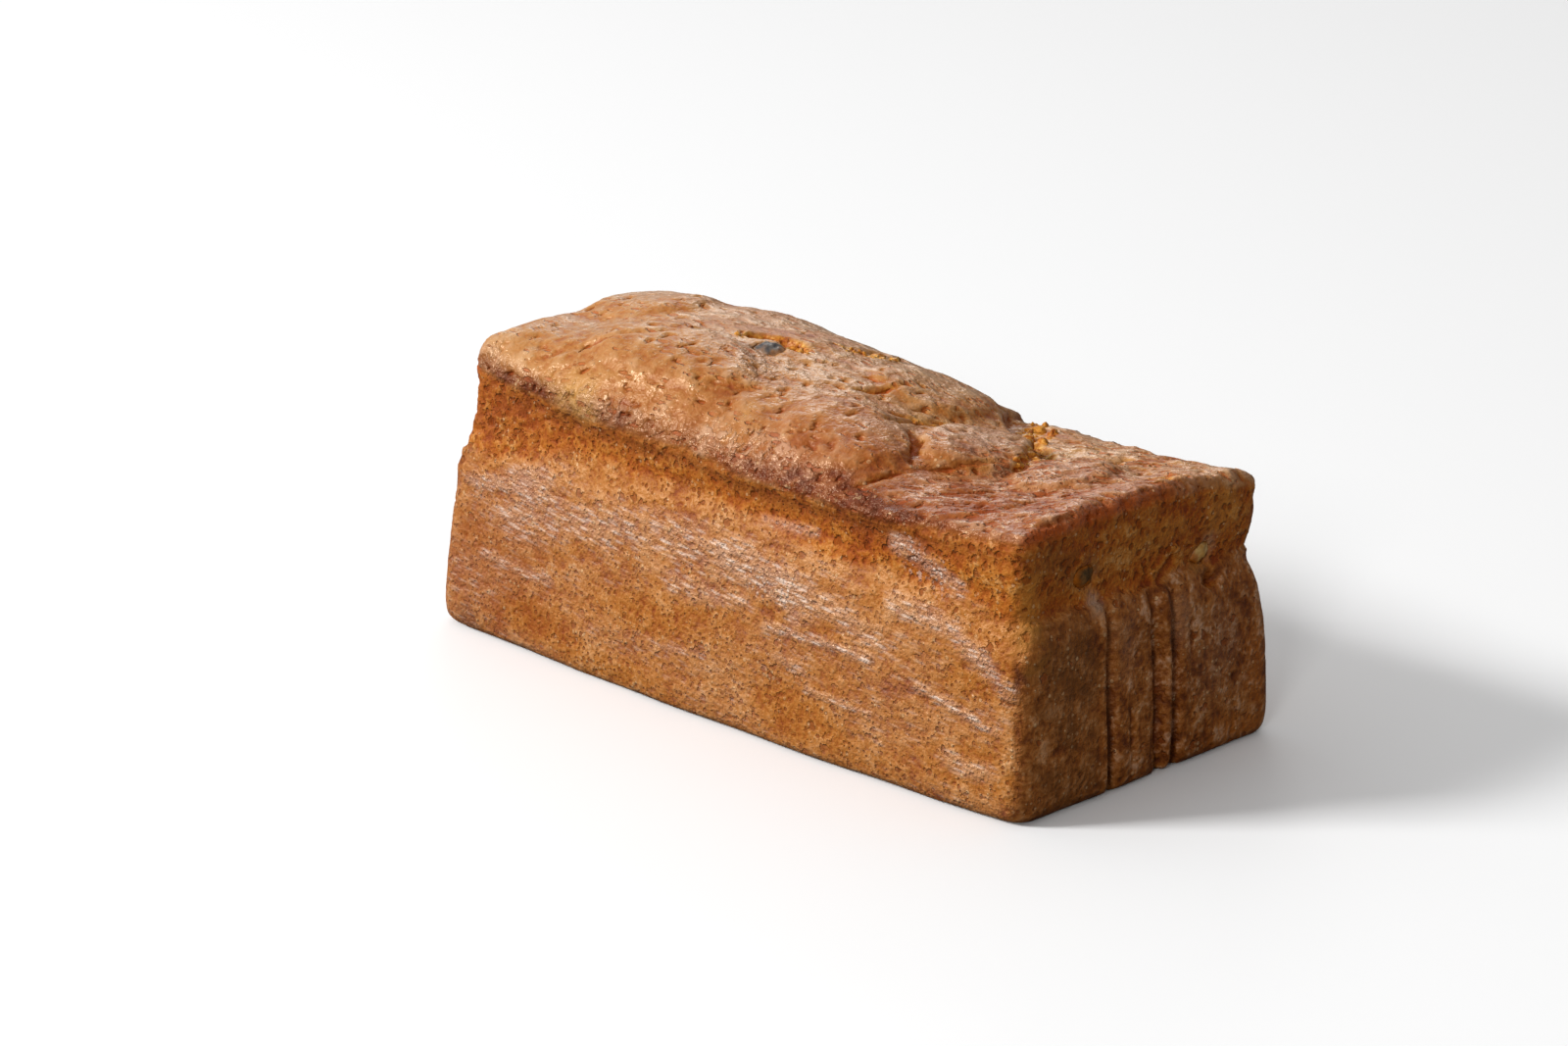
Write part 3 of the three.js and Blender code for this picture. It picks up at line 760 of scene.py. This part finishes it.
# small broken lumps, half sunk into the torn places, become part of the loaf
def addCrumbs(piece, torn):
    places, normals = pointsOf(piece)
    count, radii, sunk, leastTorn = bread["crumbs"]
    stretches, bumpiness, spacing = bread["crumbShape"]
    tornPoints = np.nonzero(torn > leastTorn)[0].tolist()
    spots = [(index, random.uniform(*radii)) for index in random.sample(tornPoints, count)]
    for place, radius in bread["lumps"]:
        spots.append((int(np.argmin(np.linalg.norm(places - place, axis=1))), radius))
    bpy.ops.mesh.primitive_ico_sphere_add(subdivisions=2, radius=1)
    crumb = bpy.context.active_object
    ball = pointsOf(crumb)[0] * mm
    faces = np.array([face.vertices[:] for face in crumb.data.polygons])
    allPoints, allFaces = [], []
    for number, (index, radius) in enumerate(spots):
        stretch = np.array([random.uniform(*stretches) for axis in range(3)])
        shape = ball * stretch * (1 + bumpiness * noiseAt(ball, spacing, number))[:, None]
        middle = places[index] - normals[index] * radius * sunk
        allFaces.append(faces + number * len(ball))
        allPoints.append((middle + shape * radius) * mm)
    crumb.data.clear_geometry()
    crumb.data.from_pydata(np.concatenate(allPoints).tolist(), [], np.concatenate(allFaces).tolist())
    addMask(crumb, "torn", np.ones(len(crumb.data.vertices)))
    selectOnly(piece)
    crumb.select_set(True)
    bpy.ops.object.join()
    print("crumbs joined:", len(spots))


def thinUnderside(piece):
    selectOnly(piece)
    bpy.ops.object.mode_set(mode="EDIT")
    bpy.ops.mesh.select_all(action="DESELECT")
    bpy.ops.object.mode_set(mode="OBJECT")
    for face in piece.data.polygons:
        low = face.center.z < bread["baseHeight"] * mm
        face.select = low and face.normal.z < bread["baseNormal"]
    bpy.ops.object.mode_set(mode="EDIT")
    bpy.ops.mesh.select_mode(type="FACE")
    bpy.ops.mesh.dissolve_limited(angle_limit=math.radians(bread["baseAngle"]))
    bpy.ops.object.mode_set(mode="OBJECT")
    triangles = sum(len(face.vertices) - 2 for face in piece.data.polygons)
    print("loaf with thin underside:", triangles, "triangles")


crust = {
    # linear colours of each kind of surface, from its deepest to its lightest tone
    "tones": (0.10, 0.30, 0.50, 0.70, 0.90),
    "ladders": {
        "wall": ((0.22, 0.036, 0.001), (0.33, 0.086, 0.007), (0.42, 0.140, 0.018),
                 (0.49, 0.19, 0.045), (0.58, 0.27, 0.10)),
        # painted shade: the darker ladder of the lower end walls
        "shade": ((0.09, 0.014, 0.001), (0.18, 0.040, 0.003), (0.30, 0.086, 0.011),
                  (0.40, 0.145, 0.036), (0.52, 0.24, 0.10)),
        "tan": ((0.30, 0.056, 0.002), (0.38, 0.118, 0.014), (0.45, 0.188, 0.048),
                (0.51, 0.250, 0.090), (0.60, 0.34, 0.16)),
        "red": ((0.16, 0.017, 0.001), (0.24, 0.045, 0.002), (0.33, 0.086, 0.010),
                (0.40, 0.135, 0.030), (0.50, 0.22, 0.08)),
        "rim": ((0.05, 0.004, 0.001), (0.09, 0.010, 0.001), (0.14, 0.021, 0.002),
                (0.21, 0.044, 0.007), (0.32, 0.10, 0.03)),
        "crumb": ((0.22, 0.028, 0.001), (0.32, 0.062, 0.002), (0.41, 0.106, 0.005),
                  (0.50, 0.17, 0.020), (0.62, 0.28, 0.08)),
        "torn": ((0.26, 0.045, 0.001), (0.40, 0.105, 0.003), (0.55, 0.205, 0.016),
                 (0.68, 0.33, 0.055), (0.82, 0.49, 0.16)),
    },
    "pale": (0.55, 0.28, 0.070, 1),
    "ashen": (0.45, 0.24, 0.14, 1),
    "dusky": (0.12, 0.075, 0.040, 1),
    # olive brown, also painted shade on the near end
    "oliveShade": (0.16, 0.050, 0.007, 1),
    # umber, used as painted shade on the left of the front wall
    "umberShade": (0.28, 0.060, 0.004, 1),
    "russet": (0.27, 0.052, 0.004, 1),
    "char": (0.12, 0.018, 0.002, 1),
    "purple": (0.17, 0.060, 0.030, 1),
    # orange; at one spot on the crown it is painted light
    "orange": (0.46, 0.125, 0.010, 1),
    "golden": (0.58, 0.25, 0.040, 1),
    "white": (0.66, 0.52, 0.38, 1),
    "burnt": (0.045, 0.022, 0.014, 1),
    "pore": (0.22, 0.036, 0.001, 1),
    "crease": (0.42, 0.070, 0.002, 1),
    "darkCrease": (0.24, 0.030, 0.001, 1),
    # painted shade in the groove under the crust's edge
    "grooveAndShade": (0.22, 0.052, 0.003, 1),
    "endLip": (0.42, 0.065, 0.002, 1),
    "filmAndSheen": (0.62, 0.39, 0.28, 1),      # pale film: painted sheen on the crown, its shiny patches and the greasy walls, and the paler film low on the end walls
    # painted glints, pale and golden
    "paintedGlint": (0.92, 0.75, 0.63, 1),
    "paintedGoldGlint": (0.88, 0.58, 0.30, 1),
    # noises: spacing in mm, detail, stretch and turn in degrees
    "grains": {
        "blotch": (16, 3),
        "mottle": (4.0, 3),
        "speck": (1.3, 2),
        "fine": (0.75, 1),
        "smear": (2.2, 3, (4, 2, 1)),
        "upright": (1.4, 3, (1, 1, 5)),
        "stroke": (1.3, 3, (5, 5, 1), (0, 4, 0)),
    },
    # dots: spacing in mm, distance where they are full and where they end, stretch and turn
    "dots": {
        "dash": (1.6, 0.14, 0.30, (3.5, 1.2, 1)),
        "fold": (1.7, 0.20, 0.40, (3.5, 1, 1), (0, 0, bread["wrinkleTurn"])),
        "pepper": (1.3, 0.16, 0.30),
        "wallHole": (3.6, 0.08, 0.18),
        "neckHole": (2.6, 0.12, 0.36),
        # painted glints: threads in the grease, golden specks, clusters
        "glintThread": (0.9, 0.12, 0.46, (5, 5, 1), (0, 4, 0)),
        "goldenGlints": (1.5, 0.08, 0.16),
        "glintCluster": (1.1, 0.16, 0.40),
    },
    "dotUnevenness": 0.5,
    # how much each noise counts in a tone or a height
    "weights": {
        "wall": {"fine": 0.6, "speck": 0.7, "mottle": 0.9, "blotch": 0.7},
        "crown": {"fine": 0.25, "speck": 0.4, "mottle": 0.9, "blotch": 0.9},
        "end": {"speck": 1.0, "mottle": 1.2, "blotch": 0.8, "upright": 0.4},
        "crownSheen": {"smear": 0.9, "mottle": 0.6, "blotch": 0.6},
        "bloom": {"mottle": 1.2, "speck": 1.0},
        "gleam": {"speck": 1.0, "mottle": 0.8},
        "crownGloss": {"mottle": 1.0, "blotch": 1.0},
        "wallHeight": {"fine": 0.2, "speck": 0.6, "mottle": 0.9},
        "crownHeight": {"speck": 0.3, "mottle": 1.1},
        "greaseHeight": {"fine": 0.7, "stroke": 0.6},
    },
    # values between which a share changes, then its first and last value if they aren't 0 and 1
    "limits": {
        "patchy": (0.40, 0.60), "crownSheen": (0.5, 0.95, 0, 0.2), "bloom": (0.55, 0.9, 0, 0.4),
        "rim": (0.7, 0.4, 0.75, 1), "stainAndShading": (0.2, 0.8, 1, 0.6), "gleam": (0.38, 0.62),
        "hollow": (0.2, 0.8), "pepper": (0.35, 0.6, 0.2, 1), "endPepper": (0, 1, 1, 0.15),
        "sheen": (0.35, 0.6, 0.45, 1), "goldenGlints": (0.35, 0.65, 0, 0.7),
        "wallRough": (0.35, 0.65, 0.60, 0.45), "crownRough": (0.35, 0.65, 0.43, 0.28),
    },
    # how strongly each of these shows in the colour, where it isn't 1
    "amounts": {
        # proud and hollow: painted light on proud parts and painted shade in hollows
        "proud": 0.2, "hollow": 0.3, "proudSheen": 0.35, "endLowShade": 0.9, "endLip": 0.75,
        "gleam": 0.35, "bakedCrease": 0.7, "crease": 0.65, "grooveAndShade": 0.7, "hole": 0.7, "sheen": 0.5,
        "glintThread": 0.72, "glintCluster": 0.65, "goldenGlints": 0.6,
        # in the gloss
        "pitRough": 0.3, "crumbRough": 0.12,
        # in the height
        "rimHeight": 0.8, "sparkHeight": 0.3, "pitDepth": 0.5,
    },
    "greaseRough": 0.24,
    "sparkRough": 0.2,
    "specular": 0.5,
    "glossTint": (1.0, 0.70, 0.46, 1),
    "bump": 0.9,            # mm
}


def ladder(tree, tone, name):
    node = addNode(tree, "ShaderNodeValToRGB", {"Fac": tone})
    steps = node.color_ramp.elements
    colours = crust["ladders"][name]
    while len(steps) < len(colours):
        steps.new(1.0)
    for step, place, colour in zip(steps, crust["tones"], colours):
        step.position = place
        step.color = (*colour, 1)
    return node.outputs["Color"]


# adds up noises by their weights, about the middle tone
def toneOf(tree, noises, name):
    weights = crust["weights"][name]
    total = 0.5 - 0.5 * sum(weights.values())
    for part, weight in weights.items():
        total = plus(tree, times(tree, noises[part], weight), total)
    return total


# dots or dashes of uneven size with a ragged edge
def dots(tree, place, ragged, spacing, low, high, stretch=(1, 1, 1), turn=(0, 0, 0)):
    scaled = scaledPlace(tree, place, spacing, stretch, turn)
    cells = addNode(tree, "ShaderNodeTexVoronoi", {"Vector": scaled, "Scale": 1.0})
    share = crust["dotUnevenness"]
    size = plus(tree, times(tree, ragged, share), times(tree, cells.outputs["Color"], share))
    away = plus(tree, cells.outputs["Distance"], sums(tree, "SUBTRACT", size, share))
    return spread(tree, away, high, low)


def limited(tree, name, value):
    return spread(tree, value, *crust["limits"][name])


def amountOf(tree, name, value):
    return times(tree, value, crust["amounts"][name])


# skin of the crown, from tan to well baked, with painted sheen on its proud parts
def crownColour(tree, noises, tone):
    colour = mixColour(tree, mask(tree, "baked"), ladder(tree, tone, "tan"), ladder(tree, tone, "red"))
    onProud = amountOf(tree, "proudSheen", mask(tree, "proud"))
    filmAndSheen = limited(tree, "crownSheen", plus(tree, toneOf(tree, noises, "crownSheen"), onProud))
    return mixColour(tree, filmAndSheen, colour, crust["filmAndSheen"])


# creases of the crown that show the crumb, and its hollows, darker partly as painted shade
def findCreases(tree, noises, spots):
    dashes = times(tree, spots["dash"], limited(tree, "patchy", noises["mottle"]))
    folds = times(tree, spots["fold"], mask(tree, "wrinkled"))
    shadedHollows = limited(tree, "hollow", mask(tree, "hollow"))
    return times(tree, most(tree, dashes, folds, shadedHollows), mask(tree, "crown"))


# small dark holes in the walls and in the neck
def findHoles(tree, noises, spots):
    offEnds = limited(tree, "endPepper", mask(tree, "onEnd"))
    pepper = times(tree, spots["pepper"], limited(tree, "pepper", noises["mottle"]), offEnds)
    wallHoles = times(tree, spots["wallHole"], limited(tree, "patchy", noises["mottle"]))
    neckHoles = times(tree, spots["neckHole"], mask(tree, "crumbly"))
    onWalls = sums(tree, "SUBTRACT", 1.0, mask(tree, "crown"))
    return times(tree, most(tree, pepper, wallHoles, neckHoles), onWalls)


def loafMaterial():
    material, tree, shader, place = newMaterial("baked crust")
    noises = {name: grain(tree, place, *values) for name, values in crust["grains"].items()}
    speck, mottle = noises["speck"], noises["mottle"]
    spots = {name: dots(tree, place, speck, *values) for name, values in crust["dots"].items()}
    maskNames = ("crown", "crumbly", "rim", "greaseAndSheen", "glints")
    onCrown, crumbly, rim, greaseAndSheen, glints = [mask(tree, name) for name in maskNames]
    # painted shade in hollows, also in the end's pleats, and painted light on proud parts, in the tones
    hollowShade = amountOf(tree, "hollow", mask(tree, "hollow"))
    relief = sums(tree, "SUBTRACT", amountOf(tree, "proud", mask(tree, "proud")), hollowShade)
    wallTone = plus(tree, toneOf(tree, noises, "wall"), relief)
    crownTone = plus(tree, toneOf(tree, noises, "crown"), relief)
    endTone = sums(tree, "SUBTRACT", toneOf(tree, noises, "end"), hollowShade)
    bloom = limited(tree, "bloom", toneOf(tree, noises, "bloom"))
    stainedAndShaded = addNode(tree, "ShaderNodeAttribute", attribute_name="stainAndShadingColour").outputs["Color"]
    gleam = times(tree, mask(tree, "shine"), limited(tree, "gleam", toneOf(tree, noises, "gleam")))
    creases = findCreases(tree, noises, spots)
    darkness = most(tree, rim, amountOf(tree, "bakedCrease", mask(tree, "baked")))
    holes = findHoles(tree, noises, spots)
    # painted sheen on the walls' grease
    sheen = times(tree, greaseAndSheen, limited(tree, "sheen", noises["stroke"]))
    # painted glints: clusters on the long walls, golden specks all over
    glintClusters = times(tree, spots["glintCluster"], glints)
    goldenGlints = times(tree, spots["goldenGlints"], limited(tree, "goldenGlints", mottle))
    # what lies over the walls' colour, lowest first: where it is, and its colour
    layers = {
        "crown": (onCrown, crownColour(tree, noises, crownTone)),
        "crumb": (crumbly, ladder(tree, wallTone, "crumb")),
        # painted shade on the lower end walls
        "endLowShade": (mask(tree, "endLowShade"), ladder(tree, endTone, "shade")),
        "bloom": (times(tree, mask(tree, "bloom"), bloom), crust["filmAndSheen"]),
        "rim": (times(tree, rim, limited(tree, "rim", mottle)), ladder(tree, crownTone, "rim")),
        # stains, with painted shade and painted light at some spots
        "stainAndShading": (times(tree, mask(tree, "stainAndShading"), limited(tree, "stainAndShading", wallTone)), stainedAndShaded),
        "endLip": (mask(tree, "endLip"), crust["endLip"]),
        "torn": (mask(tree, "torn"), ladder(tree, wallTone, "torn")),
        # painted sheen on the crust's shiny patches
        "gleam": (gleam, crust["filmAndSheen"]),
        "crease": (creases, mixColour(tree, darkness, crust["crease"], crust["darkCrease"])),
        # painted shade in the groove under the crust's edge
        "grooveAndShade": (mask(tree, "grooveAndShade"), crust["grooveAndShade"]),
        "hole": (holes, crust["pore"]),
        # painted sheen on the grease, with painted glints: pale threads, clusters and golden specks
        "sheen": (sheen, crust["filmAndSheen"]),
        "glintThread": (times(tree, sheen, spots["glintThread"]), crust["paintedGlint"]),
        "glintCluster": (glintClusters, crust["paintedGlint"]),
        "goldenGlints": (goldenGlints, crust["paintedGoldGlint"]),
    }
    colour = ladder(tree, wallTone, "wall")
    for name, (share, over) in layers.items():
        share = times(tree, share, crust["amounts"].get(name, 1.0))
        colour = mixColour(tree, share, colour, over)
    plug(tree, shader.inputs["Base Color"], colour)
    # gloss
    pits = most(tree, holes, creases)
    sparks = most(tree, goldenGlints, glintClusters, gleam)
    crownRough = limited(tree, "crownRough", toneOf(tree, noises, "crownGloss"))
    rough = mixValue(tree, onCrown, limited(tree, "wallRough", mottle), crownRough)
    rough = mixValue(tree, most(tree, greaseAndSheen, glints), rough, crust["greaseRough"])
    rough = mixValue(tree, sparks, rough, crust["sparkRough"])
    rough = plus(tree, rough, amountOf(tree, "pitRough", pits), amountOf(tree, "crumbRough", crumbly))
    plug(tree, shader.inputs["Roughness"], rough)
    shader.inputs["Specular Tint"].default_value = crust["glossTint"]
    shader.inputs["Specular IOR Level"].default_value = crust["specular"]
    # height
    wallHeight = toneOf(tree, noises, "wallHeight")
    height = mixValue(tree, onCrown, wallHeight, toneOf(tree, noises, "crownHeight"))
    strokes = times(tree, greaseAndSheen, toneOf(tree, noises, "greaseHeight"))
    grit = times(tree, rim, amountOf(tree, "rimHeight", speck))
    height = plus(tree, height, strokes, grit, amountOf(tree, "sparkHeight", sparks))
    height = sums(tree, "SUBTRACT", height, amountOf(tree, "pitDepth", pits))
    bump = addNode(tree, "ShaderNodeBump", {"Height": height, "Distance": crust["bump"] * mm})
    bump.inputs["Strength"].default_value = 1.0
    plug(tree, shader.inputs["Normal"], bump.outputs[0])
    return material


loaf = makeLoaf()
regions, torn = sculptLoaf(loaf)
paintLoaf(loaf, regions, torn)
addCrumbs(loaf, torn)
thinUnderside(loaf)
loaf.data.materials.append(loafMaterial())
finishPiece(loaf, "crust", "loaf")
print("loaf finished")


# fruit: the pieces that show, with finer wrinkles

fruitLook = {
    "levels": 2,
    "wrinkle": (1.3, 0.5),      # spacing and height, mm
    "swell": 0.4,               # closes the gap to the crumb
    "cloud": (1.8, 4),          # spacing and detail of the noise in the colour
    "cloudLimits": (0.35, 0.7),
    "grain": (0.4, 2),          # spacing and detail of the noise in the bump
    "bump": (0.2, 0.5),         # height in mm and strength
    # deep and light colour, colour of the crumb round it, roughness, specular level
    "dark": ((0.040, 0.034, 0.036, 1), (0.13, 0.105, 0.085, 1), (0.38, 0.16, 0.045, 1), 0.4, 0.5),
    "baked": ((0.065, 0.038, 0.016, 1), (0.20, 0.090, 0.026, 1), (0.34, 0.095, 0.008, 1), 0.6, 0.05),
    "pale": ((0.46, 0.24, 0.05, 1), (0.66, 0.46, 0.19, 1), (0.40, 0.125, 0.012, 1), 0.35, 0.4),
    "crownReach": (4.2, 4.2, 99),   # how far the fruit's own colour goes from its middle
    "endReach": (99, 3.2, 2.4),
    "heartLimits": (1.0, 0.4),
    "heartUnevenness": 0.5,
}


def fruitMaterial(name, deep, light, crumb, roughness, specular):
    material, tree, shader, place = newMaterial(name)
    cloud = spread(tree, grain(tree, place, *fruitLook["cloud"]), *fruitLook["cloudLimits"])
    colour = mixColour(tree, cloud, deep, light)
    plug(tree, shader.inputs["Base Color"], mixColour(tree, mask(tree, "heart"), crumb, colour))
    shader.inputs["Roughness"].default_value = roughness
    shader.inputs["Specular IOR Level"].default_value = specular
    height, strength = fruitLook["bump"]
    bump = addNode(tree, "ShaderNodeBump", {"Distance": height * mm, "Strength": strength})
    plug(tree, bump.inputs["Height"], grain(tree, place, *fruitLook["grain"]))
    plug(tree, shader.inputs["Normal"], bump.outputs[0])
    return material


def makeFruit(nodeName, material, slot, reach):
    piece = copyNode(nodeName, nodeName + "_skin")
    finer = piece.modifiers.new("finer", "SUBSURF")
    finer.levels = finer.render_levels = fruitLook["levels"]
    applyModifiers(piece)
    spacing, height = fruitLook["wrinkle"]
    places, normals = pointsOf(piece)
    away = np.linalg.norm((places - places.mean(axis=0)) / reach, axis=1)
    away += fruitLook["heartUnevenness"] * noiseAt(places, spacing, seed=9)
    addMask(piece, "heart", ramp(*fruitLook["heartLimits"], away))
    swollen = fruitLook["swell"] + height * noiseAt(places, spacing, seed=8)
    setPoints(piece, places + normals * swollen[:, None])
    piece.data.materials.append(material)
    finishPiece(piece, slot, nodeName)
    print("fruit finished:", piece.name)


darkFruit = fruitMaterial("dark fruit skin", *fruitLook["dark"])
bakedFruit = fruitMaterial("baked fruit skin", *fruitLook["baked"])
paleFruit = fruitMaterial("pale fruit flesh", *fruitLook["pale"])
makeFruit("fruit_crown", darkFruit, "dark_fruit", fruitLook["crownReach"])
makeFruit("fruit_end_dark", bakedFruit, "dark_fruit", fruitLook["endReach"])
makeFruit("fruit_end_pale", paleFruit, "pale_fruit", fruitLook["endReach"])


# studio: pale floor, soft light, camera

studio = {
    "floorSize": 12.0,
    "floorGap": 0.2,                        # mm below the loaf
    "floorRoughness": 0.9,
    "floorColour": (0.93, 0.93, 0.93, 1),
    "floorBounce": (0.16, 0.16, 0.16, 1),   # what the loaf sees of the floor
    "target": (-9.89, -9.78, 38.0),
    "azimuth": 45.186,
    "elevation": 18.38,
    "distance": 1043.3,
    "lens": 100.0,
    "sensor": 36.0,
    "nearClip": 0.01,
    "brightSide": (-0.60, 0.10, 0.79),      # where the room's soft light comes from
    "roomLight": (0.22, 0.75),              # from the dark side to the bright side
    "roomFade": (0.3, 1.0),                 # how far towards the bright side the light changes
    "backdrop": 0.95,                       # what the camera sees behind the floor
}
lamps = [                   # name, place in metres, size, watts
    ("key from the left front", (-1.4, -1.7, 1.45), 0.6, 66.0),
    ("fill from the right front", (1.4, -2.4, 1.2), 0.5, 21.0),
    ("sheen from behind", (-1.9, 1.9, 1.2), 0.8, 7.0),
]


# a pale room that is bright on one side, like a window wall, and dim on the other
def makeRoom():
    world = bpy.data.worlds.new("pale room")
    world.use_nodes = True
    tree = world.node_tree
    direction = addNode(tree, "ShaderNodeTexCoord").outputs["Generated"]
    facing = addNode(tree, "ShaderNodeVectorMath", operation="DOT_PRODUCT")
    plug(tree, facing.inputs[0], direction)
    plug(tree, facing.inputs[1], Vector(studio["brightSide"]).normalized())
    dim, bright = studio["roomLight"]
    light = spread(tree, facing.outputs["Value"], *studio["roomFade"], dim, bright)
    seen = addNode(tree, "ShaderNodeLightPath").outputs["Is Camera Ray"]
    level = mixValue(tree, seen, light, studio["backdrop"])
    plug(tree, tree.nodes["Background"].inputs["Strength"], level)
    tree.nodes["Background"].inputs["Color"].default_value = (1, 1, 1, 1)
    bpy.context.scene.world = world


def makeStudio():
    below = -studio["floorGap"] * mm
    bpy.ops.mesh.primitive_plane_add(size=studio["floorSize"], location=(0, 0, below))
    floor = bpy.context.active_object
    floor.name = "floor"
    bpy.ops.object.transform_apply(location=True, rotation=True, scale=True)
    material, tree, shader, place = newMaterial("pale floor")
    seen = addNode(tree, "ShaderNodeLightPath").outputs["Is Camera Ray"]
    shade = mixColour(tree, seen, studio["floorBounce"], studio["floorColour"])
    plug(tree, shader.inputs["Base Color"], shade)
    shader.inputs["Roughness"].default_value = studio["floorRoughness"]
    floor.data.materials.append(material)
    makeRoom()
    aim = Vector(studio["target"]) * mm
    for name, place, size, watts in lamps:
        bpy.ops.object.light_add(type="AREA", location=place)
        lamp = bpy.context.active_object
        lamp.name = name
        lamp.data.size = size
        lamp.data.energy = watts
        lamp.rotation_euler = (aim - Vector(place)).to_track_quat("-Z", "Y").to_euler()
    turn = math.radians(studio["azimuth"])
    rise = math.radians(studio["elevation"])
    back = Vector((math.sin(turn) * math.cos(rise), -math.cos(turn) * math.cos(rise), math.sin(rise)))
    bpy.ops.object.camera_add(location=aim + back * studio["distance"] * mm)
    camera = bpy.context.active_object
    camera.rotation_euler = (-back).to_track_quat("-Z", "Y").to_euler()
    camera.data.lens = studio["lens"]
    camera.data.sensor_width = studio["sensor"]
    camera.data.sensor_fit = "HORIZONTAL"
    camera.data.clip_start = studio["nearClip"]
    bpy.context.scene.camera = camera
    bpy.context.scene.view_settings.view_transform = "Standard"
    print("studio ready")


makeStudio()
